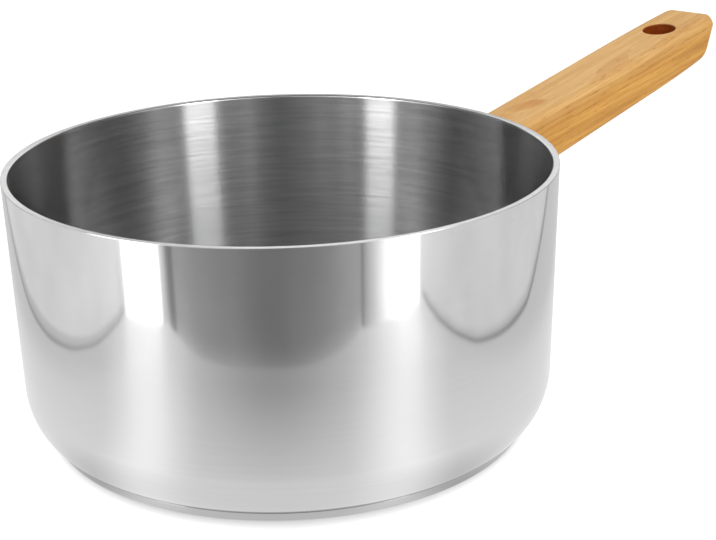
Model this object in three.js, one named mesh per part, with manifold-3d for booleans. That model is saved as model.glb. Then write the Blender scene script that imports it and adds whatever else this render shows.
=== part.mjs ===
// Stainless steel saucepan with an oak handle.
// Millimetres, +Z up. The origin is the centre of the face the pan stands on, and the handle points along +X.

import * as THREE from 'three';
import { mergeVertices } from 'three/addons/utils/BufferGeometryUtils.js';
import Module from 'manifold-3d';

// Vessel, deep drawn from one sheet
const POT_DIAMETER = 200; // outside, at the rim
const POT_HEIGHT = 99; // rim above the surface the pan stands on
const WALL = 2.6;
const WALL_DRAFT = 1.6; // how far the wall leans in between the rim and the bottom round
const BOTTOM_ROUND_WIDTH = 13.3;
const BOTTOM_ROUND_HEIGHT = 19.4;
const RIM_BREAK = 0.45; // bevel on both edges of the ground rim

// Base under the vessel: an aluminium disc in a steel cap
const BASE_INSET = 10.5; // its edge lies this far inside the rim, all round
const CORE_THICKNESS = 1.6;
const CAP_SHEET = 0.6;
const CAP_EDGE_ROUND = 1.2;

// Oak handle, measured from the vessel's wall along the handle
const HANDLE_BELOW_RIM = 17; // where the line of its top face meets the wall
const HANDLE_SLOPE = THREE.MathUtils.degToRad(9.7);
const HANDLE_START = 18; // air gap that keeps the wood off the hot wall
const HANDLE_TIP = 184.1;
const WIDTH_AT_START = 27.4;
const WIDTH_AT_TIP = 30.4;
const THICKNESS_AT_START = 24;
const THICKNESS_AT_TIP = 19.9;
const EDGE_ROUND = 4.5;
const BUTT_ROUND = 1.5; // edges of the end next to the pan
const NOSE_LEAN = THREE.MathUtils.degToRad(40); // the tip is cut back towards its underside
const NOSE_LENGTH = 60; // stretch over which the lean builds up
const NOSE_CROWN = 0.7; // bow of the tip, seen from above
const NOSE_ROUND_TOP = 6;
const NOSE_ROUND_BOTTOM = 8;
const HANG_HOLE_DIAMETER = 15;
const HANG_HOLE_FROM_TIP = 32;
const HANG_HOLE_EDGE = 1; // rounded mouth on both faces

// Bracket, cast in one piece and welded to the wall
const PAD_WIDTH = 46;
const PAD_HEIGHT = 34;
const PAD_CORNER = 8;
const PAD_THICKNESS = 3;
const NECK_FLARE = 30; // width of the neck where it grows out of the pad
const NECK_GAP = 4; // the flare ends this far short of the wood
const ROOT_LENGTH = 5; // how far neck and rib run back into the pad, as far as the wall lets them
const TANG_WIDTH = 16;
const TANG_THICKNESS = 5;
const TANG_MARGIN = 14; // from the rear screw to the tang's round end
const RIB_THICKNESS = 5;
const RIB_GAP = 3; // the rib ends this far short of the wood
const RIB_DROP = 11; // below the tang's underside, at the pad

// Two screws from below, each with a washer
const SCREW_DIAMETER = 5;
const SCREW_HEAD_DIAMETER = 9.5;
const SCREW_HEAD_HEIGHT = 2.8;
const SCREW_HEAD_FLAT = 6; // flat in the middle of the domed head
const SCREW_TIP_BEVEL = 0.4;
const SOCKET_ACROSS = 3; // hexagon, across its flats
const SOCKET_DEPTH = 1.6;
const SCREW_PROUD = 2.5; // length that comes out above the tang
const SCREW_INSET = 16; // front screw from the handle's end
const SCREW_PITCH = 28;
const COUNTERBORE_DEPTH = 5.2; // at the rear screw, where the handle is thinner
const WASHER_DIAMETER = 11;
const WASHER_THICKNESS = 1;

const FIT = 0.3; // clearance between pieces that seat on or pass through each other
const TURN_STEPS = 96; // facets round the pan
const BORE_STEPS = 32; // facets round holes and screws
const CURVE_STEPS = 4; // steps in a rounded corner
const OVERRUN = 5; // how far a cutting shape runs past the piece it cuts
const ROUND_LIMIT = 0.9; // share of a half side that a rounded corner may take up
const MERGE_DISTANCE = 1e-4;

// Heights and radii that follow from the driving sizes
const POT_RADIUS = POT_DIAMETER / 2;
const BASE_RADIUS = POT_RADIUS - BASE_INSET;
const BASE_HEIGHT = CAP_SHEET + CORE_THICKNESS;
const WALL_FOOT_HEIGHT = BASE_HEIGHT + BOTTOM_ROUND_HEIGHT;
const WALL_FOOT_RADIUS = POT_RADIUS - WALL_DRAFT;
const FLOOR_RADIUS = WALL_FOOT_RADIUS - BOTTOM_ROUND_WIDTH;
const NECK_LENGTH = HANDLE_START - NECK_GAP;
const RIB_REACH = HANDLE_START - RIB_GAP;
const FRONT_SCREW_PLACE = HANDLE_START + SCREW_INSET;
const REAR_SCREW_PLACE = FRONT_SCREW_PLACE + SCREW_PITCH;
const SCREW_PLACES = { front: FRONT_SCREW_PLACE, rear: REAR_SCREW_PLACE };
const TANG_REACH = REAR_SCREW_PLACE + TANG_MARGIN;
const TANG_MIDDLE = -THICKNESS_AT_START / 2;
const TANG_TOP = TANG_MIDDLE + TANG_THICKNESS / 2;
const TANG_BOTTOM = TANG_MIDDLE - TANG_THICKNESS / 2;
const WASHER_SEAT = COUNTERBORE_DEPTH - handleThickness(REAR_SCREW_PLACE);
const HANG_HOLE_PLACE = HANDLE_TIP - HANG_HOLE_FROM_TIP;

const wasm = await Module();
wasm.setup();

const X = new THREE.Vector3(1, 0, 0);
const Y = new THREE.Vector3(0, 1, 0);
const Z = new THREE.Vector3(0, 0, 1);

// The handle's own frame: x runs out along its top face from the wall, y across, z square to that face.
const handleFrame = new THREE.Group();
handleFrame.position.set(POT_RADIUS, 0, POT_HEIGHT - HANDLE_BELOW_RIM);
handleFrame.rotation.y = -HANDLE_SLOPE;
handleFrame.updateMatrix();

// A closed surface as a solid that can be joined and cut.
function toSolid(geometry) {
  const bare = geometry.clone();
  bare.deleteAttribute('normal');
  bare.deleteAttribute('uv');
  const merged = mergeVertices(bare, MERGE_DISTANCE);
  return new wasm.Manifold(new wasm.Mesh({
    numProp: 3,
    vertProperties: new Float32Array(merged.attributes.position.array),
    triVerts: new Uint32Array(merged.index.array),
  }));
}

function toGeometry(solid) {
  const mesh = solid.getMesh();
  const geometry = new THREE.BufferGeometry();
  geometry.setAttribute('position', new THREE.BufferAttribute(mesh.vertProperties, 3));
  geometry.setIndex(new THREE.BufferAttribute(mesh.triVerts, 1));
  geometry.computeVertexNormals();
  return geometry;
}

// A profile of (radius, height) points turned about the Z axis.
function turned(profile, steps) {
  return new THREE.LatheGeometry(profile, steps).rotateX(Math.PI / 2);
}

// An outline drawn in (x, z) and given a thickness centred on the handle's middle.
function uprightPlate(outline, thickness) {
  const plate = new THREE.ExtrudeGeometry(outline, {
    depth: thickness,
    bevelEnabled: false,
    curveSegments: CURVE_STEPS * 2,
  });
  plate.translate(0, 0, -thickness / 2);
  return plate.applyMatrix4(new THREE.Matrix4().makeBasis(X, Z, Y.clone().negate()));
}

// Closed skin through a row of rings that all have the same number of points.
function loft(rings) {
  const count = rings[0].length;
  const points = rings.flat();
  const index = [];
  for (let ring = 0; ring < rings.length - 1; ring += 1) {
    for (let k = 0; k < count; k += 1) {
      const a = ring * count + k;
      const b = ring * count + ((k + 1) % count);
      index.push(a, b, a + count, b, b + count, a + count);
    }
  }
  const lastRing = (rings.length - 1) * count;
  for (let k = 1; k < count - 1; k += 1) {
    index.push(0, k + 1, k);
    index.push(lastRing, lastRing + k, lastRing + k + 1);
  }
  const geometry = new THREE.BufferGeometry().setFromPoints(points);
  geometry.setIndex(index);
  return geometry;
}

// Outside radius of the vessel's wall at a height, and the same line carried past both ends.
function wallRadius(height) {
  const share = (height - WALL_FOOT_HEIGHT) / (POT_HEIGHT - WALL_FOOT_HEIGHT);
  return THREE.MathUtils.lerp(WALL_FOOT_RADIUS, POT_RADIUS, share);
}

// Height of the vessel's underside at a radius: level in the middle, then rising round the bottom.
function undersideHeight(radius) {
  const share = Math.max(0, radius - FLOOR_RADIUS) / BOTTOM_ROUND_WIDTH;
  return WALL_FOOT_HEIGHT - BOTTOM_ROUND_HEIGHT * Math.sqrt(1 - share ** 2);
}

// Vessel: flat floor, round corner, straight wall with a little draft and a flat ground rim.
function potGeometry() {
  const profile = new THREE.Path();
  profile.moveTo(0, BASE_HEIGHT);
  profile.lineTo(FLOOR_RADIUS, BASE_HEIGHT);
  profile.absellipse(FLOOR_RADIUS, WALL_FOOT_HEIGHT, BOTTOM_ROUND_WIDTH, BOTTOM_ROUND_HEIGHT,
    -Math.PI / 2, 0, false);
  profile.lineTo(POT_RADIUS, POT_HEIGHT - RIM_BREAK);
  profile.lineTo(POT_RADIUS - RIM_BREAK, POT_HEIGHT);
  profile.lineTo(POT_RADIUS - WALL + RIM_BREAK, POT_HEIGHT);
  profile.lineTo(POT_RADIUS - WALL, POT_HEIGHT - RIM_BREAK);
  profile.lineTo(WALL_FOOT_RADIUS - WALL, WALL_FOOT_HEIGHT);
  profile.absellipse(FLOOR_RADIUS, WALL_FOOT_HEIGHT, BOTTOM_ROUND_WIDTH - WALL, BOTTOM_ROUND_HEIGHT - WALL,
    0, -Math.PI / 2, true);
  profile.lineTo(0, BASE_HEIGHT + WALL);
  return turned(profile.getPoints(CURVE_STEPS), TURN_STEPS);
}

// Heat-spreading disc between the vessel's floor and the cap.
function baseCoreGeometry() {
  const radius = BASE_RADIUS - CAP_SHEET - FIT;
  const profile = [
    new THREE.Vector2(0, CAP_SHEET),
    new THREE.Vector2(radius - CAP_EDGE_ROUND + CAP_SHEET, CAP_SHEET),
    new THREE.Vector2(radius, CAP_EDGE_ROUND),
    new THREE.Vector2(radius, BASE_HEIGHT),
    new THREE.Vector2(0, BASE_HEIGHT),
  ];
  return turned(profile, TURN_STEPS);
}

// Shallow drawn cup that closes the core in: the pan stands on its flat bottom, and its edge is pressed up
// against the bottom round, so that only a hairline shows between the two.
function baseCapGeometry() {
  const arcRadius = BASE_RADIUS - CAP_EDGE_ROUND;
  const innerRound = CAP_EDGE_ROUND - CAP_SHEET;
  const profile = new THREE.Path();
  profile.moveTo(0, 0);
  profile.lineTo(arcRadius, 0);
  profile.absarc(arcRadius, CAP_EDGE_ROUND, CAP_EDGE_ROUND, -Math.PI / 2, 0, false);
  for (const radius of [BASE_RADIUS, BASE_RADIUS - CAP_SHEET]) {
    profile.lineTo(radius, undersideHeight(radius) - FIT);
  }
  profile.absarc(arcRadius, CAP_EDGE_ROUND, innerRound, 0, -Math.PI / 2, true);
  profile.lineTo(0, CAP_SHEET);
  return turned(profile.getPoints(CURVE_STEPS / 2), TURN_STEPS);
}

// Outline of neck and tang from above, grown by a clearance for the slot in the wood.
function tangOutline(clearance) {
  const half = TANG_WIDTH / 2 + clearance;
  const flare = NECK_FLARE / 2 + clearance;
  const endCentre = TANG_REACH - TANG_WIDTH / 2;
  const outline = new THREE.Shape();
  outline.moveTo(-ROOT_LENGTH, -flare);
  outline.lineTo(0, -flare);
  outline.quadraticCurveTo(NECK_LENGTH / 3, -half, NECK_LENGTH, -half);
  outline.lineTo(endCentre, -half);
  outline.absarc(endCentre, 0, half, -Math.PI / 2, Math.PI / 2, false);
  outline.lineTo(NECK_LENGTH, half);
  outline.quadraticCurveTo(NECK_LENGTH / 3, half, 0, flare);
  outline.lineTo(-ROOT_LENGTH, flare);
  outline.closePath();
  return outline;
}

function tangGeometry(clearance) {
  const plate = new THREE.ExtrudeGeometry(tangOutline(clearance), {
    depth: TANG_THICKNESS + 2 * clearance,
    bevelEnabled: false,
    curveSegments: CURVE_STEPS * 2,
  });
  return plate.translate(0, 0, TANG_BOTTOM - clearance);
}

// Pad cut from a sheet rolled to the wall, with rounded corners.
function padSolid() {
  const half = PAD_WIDTH / 2;
  const middle = handleFrame.position.z + TANG_BOTTOM;
  const low = middle - PAD_HEIGHT / 2;
  const high = middle + PAD_HEIGHT / 2;
  const outline = new THREE.Shape();
  outline.moveTo(-half + PAD_CORNER, low);
  outline.lineTo(half - PAD_CORNER, low);
  outline.absarc(half - PAD_CORNER, low + PAD_CORNER, PAD_CORNER, -Math.PI / 2, 0, false);
  outline.lineTo(half, high - PAD_CORNER);
  outline.absarc(half - PAD_CORNER, high - PAD_CORNER, PAD_CORNER, 0, Math.PI / 2, false);
  outline.lineTo(-half + PAD_CORNER, high);
  outline.absarc(-half + PAD_CORNER, high - PAD_CORNER, PAD_CORNER, Math.PI / 2, Math.PI, false);
  outline.lineTo(-half, low + PAD_CORNER);
  outline.absarc(-half + PAD_CORNER, low + PAD_CORNER, PAD_CORNER, Math.PI, Math.PI * 1.5, false);
  const blank = new THREE.ExtrudeGeometry(outline, {
    depth: POT_DIAMETER,
    bevelEnabled: false,
    curveSegments: CURVE_STEPS,
  });
  blank.applyMatrix4(new THREE.Matrix4().makeBasis(Y, Z, X));
  const seat = (height, out) => new THREE.Vector2(wallRadius(height) + FIT + out, height);
  const sheet = turned([
    seat(low - OVERRUN, 0),
    seat(low - OVERRUN, PAD_THICKNESS),
    seat(high + OVERRUN, PAD_THICKNESS),
    seat(high + OVERRUN, 0),
    seat(low - OVERRUN, 0),
  ], TURN_STEPS);
  return toSolid(sheet).intersect(toSolid(blank));
}

// Bracket: pad on the wall, neck and tang under the handle, and a rib below the neck.
function bracketGeometry() {
  const rib = new THREE.Shape();
  rib.moveTo(-ROOT_LENGTH, TANG_MIDDLE);
  rib.lineTo(-ROOT_LENGTH, TANG_BOTTOM - RIB_DROP);
  rib.lineTo(0, TANG_BOTTOM - RIB_DROP);
  rib.quadraticCurveTo(RIB_REACH / 3, TANG_BOTTOM, RIB_REACH, TANG_BOTTOM);
  rib.lineTo(RIB_REACH, TANG_MIDDLE);
  rib.closePath();
  const tang = toSolid(tangGeometry(0).applyMatrix4(handleFrame.matrix));
  const web = toSolid(uprightPlate(rib, RIB_THICKNESS).applyMatrix4(handleFrame.matrix));
  const wallSpace = toSolid(turned([
    new THREE.Vector2(0, BASE_HEIGHT),
    new THREE.Vector2(wallRadius(BASE_HEIGHT) + FIT, BASE_HEIGHT),
    new THREE.Vector2(wallRadius(POT_HEIGHT) + FIT, POT_HEIGHT),
    new THREE.Vector2(0, POT_HEIGHT),
  ], TURN_STEPS));
  let bracket = padSolid().add(tang).add(web).subtract(wallSpace);
  const holeRadius = SCREW_DIAMETER / 2 + FIT;
  const holeLength = TANG_THICKNESS + 2 * OVERRUN;
  for (const place of Object.values(SCREW_PLACES)) {
    const hole = new THREE.CylinderGeometry(holeRadius, holeRadius, holeLength, BORE_STEPS);
    hole.rotateX(Math.PI / 2).translate(place, 0, TANG_MIDDLE);
    bracket = bracket.subtract(toSolid(hole.applyMatrix4(handleFrame.matrix)));
  }
  return toGeometry(bracket);
}

// Share of the handle's length at a place, and its thickness there.
function handleShare(place) {
  return (place - HANDLE_START) / (HANDLE_TIP - HANDLE_START);
}

function handleThickness(place) {
  return THREE.MathUtils.lerp(THICKNESS_AT_START, THICKNESS_AT_TIP, handleShare(place));
}

// One cross-section of the handle: a rectangle with rounded corners, leaning and bowed towards the tip.
// Its top and sides are trimmed by one amount and its underside by another, to round the ends.
function handleRing(place, trim, undersideTrim) {
  const half = THREE.MathUtils.lerp(WIDTH_AT_START, WIDTH_AT_TIP, handleShare(place)) / 2;
  const build = THREE.MathUtils.clamp((place - HANDLE_TIP + NOSE_LENGTH) / NOSE_LENGTH, 0, 1) ** 2;
  const side = half - trim;
  const top = -trim;
  const bottom = undersideTrim - handleThickness(place);
  const round = Math.min(EDGE_ROUND, ((top - bottom) / 2) * ROUND_LIMIT, side * ROUND_LIMIT);
  const section = [];
  const addCorner = (y, z, startAngle) => {
    for (let k = 0; k <= CURVE_STEPS; k += 1) {
      const angle = startAngle + (k / CURVE_STEPS) * (Math.PI / 2);
      section.push([y + round * Math.cos(angle), z + round * Math.sin(angle)]);
    }
  };
  addCorner(side - round, bottom + round, -Math.PI / 2);
  addCorner(side - round, top - round, 0);
  section.push([0, top]);
  addCorner(-side + round, top - round, Math.PI / 2);
  addCorner(-side + round, bottom + round, Math.PI);
  section.push([0, bottom]);
  return section.map(([y, z]) => {
    const lean = build * Math.tan(NOSE_LEAN) * -z;
    const bow = build * NOSE_CROWN * (y / half) ** 2;
    return new THREE.Vector3(place - lean - bow, y, z);
  });
}

// Oak handle: a tapered bar lofted to its leaning tip, with a slot, two counterbores and the hanging hole.
function handleGeometry() {
  const rings = [];
  const quarter = (k) => (k / CURVE_STEPS) * (Math.PI / 2);
  for (let k = 0; k <= CURVE_STEPS; k += 2) {
    const place = HANDLE_START + BUTT_ROUND * (1 - Math.cos(quarter(k)));
    const trim = BUTT_ROUND * (1 - Math.sin(quarter(k)));
    rings.push(handleRing(place, trim, trim));
  }
  const noseSteps = CURVE_STEPS * 2;
  for (let k = 0; k <= noseSteps; k += 1) {
    const place = HANDLE_TIP - NOSE_LENGTH + (k / noseSteps) * (NOSE_LENGTH - NOSE_ROUND_TOP);
    rings.push(handleRing(place, 0, 0));
  }
  for (let k = 1; k <= CURVE_STEPS; k += 1) {
    const fall = 1 - Math.cos(quarter(k));
    const place = HANDLE_TIP - NOSE_ROUND_TOP * (1 - Math.sin(quarter(k)));
    rings.push(handleRing(place, NOSE_ROUND_TOP * fall, NOSE_ROUND_BOTTOM * fall));
  }
  let wood = toSolid(loft(rings)).subtract(toSolid(tangGeometry(FIT)));
  for (const place of Object.values(SCREW_PLACES)) {
    wood = wood.subtract(toSolid(screwBoreGeometry().translate(place, 0, 0)));
  }
  return toGeometry(wood.subtract(toSolid(hangHoleGeometry())));
}

// Cutting shape of a screw hole: counterbore from below, then a blind bore with a drill point.
function screwBoreGeometry() {
  const boreRadius = SCREW_DIAMETER / 2 + FIT;
  const counterRadius = WASHER_DIAMETER / 2 + FIT;
  const below = -THICKNESS_AT_START - OVERRUN;
  const end = TANG_TOP + SCREW_PROUD + FIT;
  return turned([
    new THREE.Vector2(0, below),
    new THREE.Vector2(counterRadius, below),
    new THREE.Vector2(counterRadius, WASHER_SEAT),
    new THREE.Vector2(boreRadius, WASHER_SEAT),
    new THREE.Vector2(boreRadius, end),
    new THREE.Vector2(0, end + boreRadius / 2),
  ], BORE_STEPS);
}

// Cutting shape of the hanging hole, flared where it breaks through the two faces.
function hangHoleGeometry() {
  const radius = HANG_HOLE_DIAMETER / 2;
  const underside = -handleThickness(HANG_HOLE_PLACE);
  const mouth = radius + HANG_HOLE_EDGE;
  const profile = new THREE.Path();
  profile.moveTo(0, underside - OVERRUN);
  profile.lineTo(mouth, underside - OVERRUN);
  profile.lineTo(mouth, underside);
  profile.absarc(mouth, underside + HANG_HOLE_EDGE, HANG_HOLE_EDGE, -Math.PI / 2, -Math.PI, true);
  profile.lineTo(radius, -HANG_HOLE_EDGE);
  profile.absarc(mouth, -HANG_HOLE_EDGE, HANG_HOLE_EDGE, Math.PI, Math.PI / 2, true);
  profile.lineTo(mouth, OVERRUN);
  profile.lineTo(0, OVERRUN);
  return turned(profile.getPoints(CURVE_STEPS / 2), BORE_STEPS).translate(HANG_HOLE_PLACE, 0, 0);
}

// Button-head screw standing on its head, with a hexagon socket in the underside.
function screwGeometry() {
  const headTop = WASHER_SEAT - FIT - WASHER_THICKNESS - FIT;
  const headBottom = headTop - SCREW_HEAD_HEIGHT;
  const shank = SCREW_DIAMETER / 2;
  const tip = TANG_TOP + SCREW_PROUD;
  const profile = new THREE.Path();
  profile.moveTo(0, headBottom);
  profile.lineTo(SCREW_HEAD_FLAT / 2, headBottom);
  profile.quadraticCurveTo(SCREW_HEAD_DIAMETER / 2, headBottom, SCREW_HEAD_DIAMETER / 2, headTop);
  profile.lineTo(shank, headTop);
  profile.lineTo(shank, tip - SCREW_TIP_BEVEL);
  profile.lineTo(shank - SCREW_TIP_BEVEL, tip);
  profile.lineTo(0, tip);
  const sides = 6;
  const socketRadius = SOCKET_ACROSS / 2 / Math.cos(Math.PI / sides);
  const socket = new THREE.CylinderGeometry(socketRadius, socketRadius, SOCKET_DEPTH * 2, sides);
  socket.rotateX(Math.PI / 2).translate(0, 0, headBottom);
  const screw = toSolid(turned(profile.getPoints(CURVE_STEPS), BORE_STEPS));
  return toGeometry(screw.subtract(toSolid(socket)));
}

function washerGeometry() {
  const inner = SCREW_DIAMETER / 2 + FIT;
  const outer = WASHER_DIAMETER / 2;
  const high = WASHER_SEAT - FIT;
  const low = high - WASHER_THICKNESS;
  return turned([
    new THREE.Vector2(inner, low),
    new THREE.Vector2(outer, low),
    new THREE.Vector2(outer, high),
    new THREE.Vector2(inner, high),
    new THREE.Vector2(inner, low),
  ], BORE_STEPS);
}

const polishedSteel = { color: 0xd9dbdd, roughness: 0.1, metalness: 1 };
const satinSteel = { color: 0xc3c6c9, roughness: 0.32, metalness: 1 };
const rolledAluminium = { color: 0xb9bcc0, roughness: 0.5, metalness: 1 };
const oiledOak = { color: 0xdcab6b, roughness: 0.58, metalness: 0 };

function piece(name, geometry, finish) {
  const mesh = new THREE.Mesh(geometry, new THREE.MeshStandardMaterial(finish));
  mesh.name = name;
  return mesh;
}

const saucepan = new THREE.Group();
saucepan.add(piece('pan_body', potGeometry(), polishedSteel));
saucepan.add(piece('base_core', baseCoreGeometry(), rolledAluminium));
saucepan.add(piece('base_cap', baseCapGeometry(), satinSteel));
saucepan.add(piece('handle_bracket', bracketGeometry(), satinSteel));
handleFrame.add(piece('handle', handleGeometry(), oiledOak));
for (const [end, place] of Object.entries(SCREW_PLACES)) {
  const screw = piece(`${end}_screw`, screwGeometry(), satinSteel);
  const washer = piece(`${end}_washer`, washerGeometry(), satinSteel);
  screw.position.x = place;
  washer.position.x = place;
  handleFrame.add(screw, washer);
}
saucepan.add(handleFrame);

export default saucepan;
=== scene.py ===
import math

import bmesh
import bpy
from mathutils import Matrix, Quaternion, Vector


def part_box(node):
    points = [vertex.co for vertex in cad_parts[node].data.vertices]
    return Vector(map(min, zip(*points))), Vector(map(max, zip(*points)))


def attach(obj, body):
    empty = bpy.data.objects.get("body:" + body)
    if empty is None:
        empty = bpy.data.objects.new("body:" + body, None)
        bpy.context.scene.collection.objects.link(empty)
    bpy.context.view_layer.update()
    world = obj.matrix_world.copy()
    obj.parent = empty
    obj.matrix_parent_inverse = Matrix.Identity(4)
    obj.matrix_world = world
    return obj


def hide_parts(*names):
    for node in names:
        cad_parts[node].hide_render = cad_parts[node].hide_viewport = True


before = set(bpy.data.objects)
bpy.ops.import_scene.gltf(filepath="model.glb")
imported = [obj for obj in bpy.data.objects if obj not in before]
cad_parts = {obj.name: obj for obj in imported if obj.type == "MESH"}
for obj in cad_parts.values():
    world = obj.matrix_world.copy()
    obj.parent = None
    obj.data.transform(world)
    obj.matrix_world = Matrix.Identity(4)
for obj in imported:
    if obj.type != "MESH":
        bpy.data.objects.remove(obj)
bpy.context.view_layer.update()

# Vessel: one deep-drawn stainless sheet with a straight wall that leans in a little, a soft foot and a flat
# ground rim. It is polished outside and brushed in rings inside, and everything else is fixed to it.
SHEET = 0.0026
WALL_DRAFT = 0.0016
FOOT_WIDTH = 0.0133
FOOT_HEIGHT = 0.0194
FOOT_STEPS = 24
RIM_BREAK = 0.00015
RIM_BREAK_STEPS = 5
RIM_ROUND_INSIDE = 0.0007
RIM_ROUND_STEPS = 8
RING_EDGE = 0.0006  # a ring of edges this close to each bend keeps the straight stretches straight
TURN_STEPS = 256
MERGE_WITHIN = 1e-6
CRISP_ANGLE = 40  # edges of turned pieces that are sharper than this stay crisp, in degrees
LOOKS_DOWN, LOOKS_UP = -0.5, 0.9  # upright part of the normals of the underside and of the floor inside
NOISE_ROUGHNESS = 0.55
STREAK_RANGE = (0.25, 0.75)  # values of the noise that become the dark and the light streaks
pan_low, pan_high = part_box("pan_body")
RIM_RADIUS = pan_high.x
RIM_HEIGHT = pan_high.z
floor_underside = pan_low.z
foot_top = floor_underside + FOOT_HEIGHT
foot_radius = RIM_RADIUS - WALL_DRAFT
floor_radius = foot_radius - FOOT_WIDTH


def wall_radius(height):
    share = (height - foot_top) / (RIM_HEIGHT - foot_top)
    return foot_radius + WALL_DRAFT * share


def arc(centre, across, up, start, end, steps):
    """Points (radius, height) along a stretch of an ellipse, between two angles in degrees."""
    points = []
    for k in range(steps + 1):
        angle = math.radians(start + (end - start) * k / steps)
        points.append((centre[0] + across * math.cos(angle), centre[1] + up * math.sin(angle)))
    return points


def deselect_all():
    bpy.ops.object.select_all(action="DESELECT")


def edge_chain(name, points):
    """Draws a chain of edges through points and leaves it selected, in edit mode."""
    deselect_all()
    bpy.ops.mesh.primitive_plane_add(size=RING_EDGE)
    piece = bpy.context.object
    piece.name = name
    bpy.ops.object.mode_set(mode="EDIT")
    bpy.ops.mesh.select_mode(type="VERT")
    bpy.ops.mesh.select_all(action="SELECT")
    bpy.ops.mesh.merge(type="CENTER")
    here = Vector((0, 0, 0))
    for count, there in enumerate(points):
        if count == 0:
            bpy.ops.transform.translate(value=there)
        else:
            bpy.ops.mesh.extrude_region_move(TRANSFORM_OT_translate={"value": there - here})
        here = there
    bpy.ops.mesh.select_all(action="SELECT")
    return piece


def turned(name, outline, steps):
    """Spins half a section, drawn through (radius, height) points, round the upright axis."""
    piece = edge_chain(name, [Vector((radius, 0, height)) for radius, height in outline])
    bpy.ops.mesh.spin(steps=steps, angle=math.tau, center=(0, 0, 0), axis=(0, 0, 1))
    bpy.ops.mesh.select_all(action="SELECT")
    bpy.ops.mesh.remove_doubles(threshold=MERGE_WITHIN)
    bpy.ops.mesh.normals_make_consistent(inside=False)
    bpy.ops.object.mode_set(mode="OBJECT")
    return piece


def smooth(piece, angle):
    """Smooth shading, with edges sharper than the angle left crisp."""
    deselect_all()
    piece.select_set(True)
    bpy.context.view_layer.objects.active = piece
    bpy.ops.object.shade_smooth_by_angle(angle=math.radians(angle))


def even_normals(piece):
    """Keeps flat faces flat beside small rounds, by weighing the shading normals by face area."""
    even = piece.modifiers.new("even", "WEIGHTED_NORMAL")
    even.keep_sharp = True
    bpy.ops.object.modifier_apply(modifier=even.name)


def node(tree, kind, inputs=None, **settings):
    """One shader node: settings are its own options, inputs are values or sockets to link from."""
    made = tree.nodes.new("ShaderNode" + kind)
    for name, value in settings.items():
        setattr(made, name, value)
    for name, value in (inputs or {}).items():
        if isinstance(value, bpy.types.NodeSocket):
            tree.links.new(value, made.inputs[name])
        else:
            made.inputs[name].default_value = value
    return made


def new_material(name):
    """An empty node material and its Object coordinates."""
    material = bpy.data.materials.new(name)
    material.use_nodes = True
    material.node_tree.nodes.clear()
    place = node(material.node_tree, "TexCoord").outputs["Object"]
    return material, material.node_tree, place


def close(tree, shader):
    node(tree, "OutputMaterial", {"Surface": shader.outputs[0]})


def spread(tree, value, low, high, start=0.0, end=1.0):
    """A pattern's value carried from one range to another."""
    inputs = {"Value": value, "From Min": start, "From Max": end, "To Min": low, "To Max": high}
    return node(tree, "MapRange", inputs).outputs[0]


def noise(tree, place, stretch, detail=2.0):
    """Noise whose cells have the given number per metre along each axis."""
    mapped = node(tree, "Mapping", {"Vector": place, "Scale": stretch})
    inputs = {"Vector": mapped.outputs[0], "Scale": 1.0, "Detail": detail, "Roughness": NOISE_ROUGHNESS}
    return node(tree, "TexNoise", inputs).outputs[0]


def mixed(tree, share, first, second, blend="MIX"):
    """Two colours, mixed by a share that a pattern gives. Sockets 6 and 7 of the node take colours."""
    made = node(tree, "Mix", {0: share, 6: first, 7: second}, data_type="RGBA", blend_type=blend)
    return made.outputs[2]


def two_tone(tree, share, dark, light):
    return mixed(tree, share, (*dark, 1), (*light, 1))


def grey(level):
    return (level, level, level)


def turned_steel(name, dark, light, streaks, sharp, smeared, drawn_out, smeared_share):
    """Steel finished while it turns, so fine streaks run round the upright axis and smear reflections.
    Part of the light comes back at the sharp roughness, the rest at the smeared one, drawn up and down."""
    material, tree, place = new_material(name)
    streak = spread(tree, noise(tree, place, streaks), 0, 1, *STREAK_RANGE)
    tone = two_tone(tree, streak, dark, light)
    tangent = node(tree, "Tangent", direction_type="RADIAL", axis="Z").outputs[0]
    mirror = node(tree, "BsdfPrincipled", {"Base Color": tone, "Metallic": 1.0, "Roughness": sharp})
    inputs = {"Color": tone, "Roughness": smeared, "Anisotropy": drawn_out, "Tangent": tangent}
    smear = node(tree, "BsdfAnisotropic", inputs, distribution="GGX")
    close(tree, node(tree, "MixShader", {0: smeared_share, 1: mirror.outputs[0], 2: smear.outputs[0]}))
    return material


rim_outer = (RIM_RADIUS - RIM_BREAK, RIM_HEIGHT - RIM_BREAK)
rim_inner = (RIM_RADIUS - SHEET + RIM_ROUND_INSIDE, RIM_HEIGHT - RIM_ROUND_INSIDE)
foot_centre = (floor_radius, foot_top)
wall_rings = [foot_top + RING_EDGE, foot_top + RIM_HEIGHT / 3, RIM_HEIGHT - RIM_ROUND_INSIDE - RING_EDGE]
outline = [(0, floor_underside), (floor_radius - RING_EDGE, floor_underside)]
outline += arc(foot_centre, FOOT_WIDTH, FOOT_HEIGHT, -90, 0, FOOT_STEPS)
outline += [(wall_radius(height), height) for height in wall_rings]
outline += arc(rim_outer, RIM_BREAK, RIM_BREAK, 0, 90, RIM_BREAK_STEPS)
outline += arc(rim_inner, RIM_ROUND_INSIDE, RIM_ROUND_INSIDE, 90, 180, RIM_ROUND_STEPS)
outline += [(wall_radius(height) - SHEET, height) for height in reversed(wall_rings)]
outline += arc(foot_centre, FOOT_WIDTH - SHEET, FOOT_HEIGHT - SHEET, 0, -90, FOOT_STEPS)
outline += [(floor_radius - RING_EDGE, floor_underside + SHEET), (0, floor_underside + SHEET)]
pan = turned("vessel", outline, TURN_STEPS)
smooth(pan, CRISP_ANGLE)
even_normals(pan)

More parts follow.
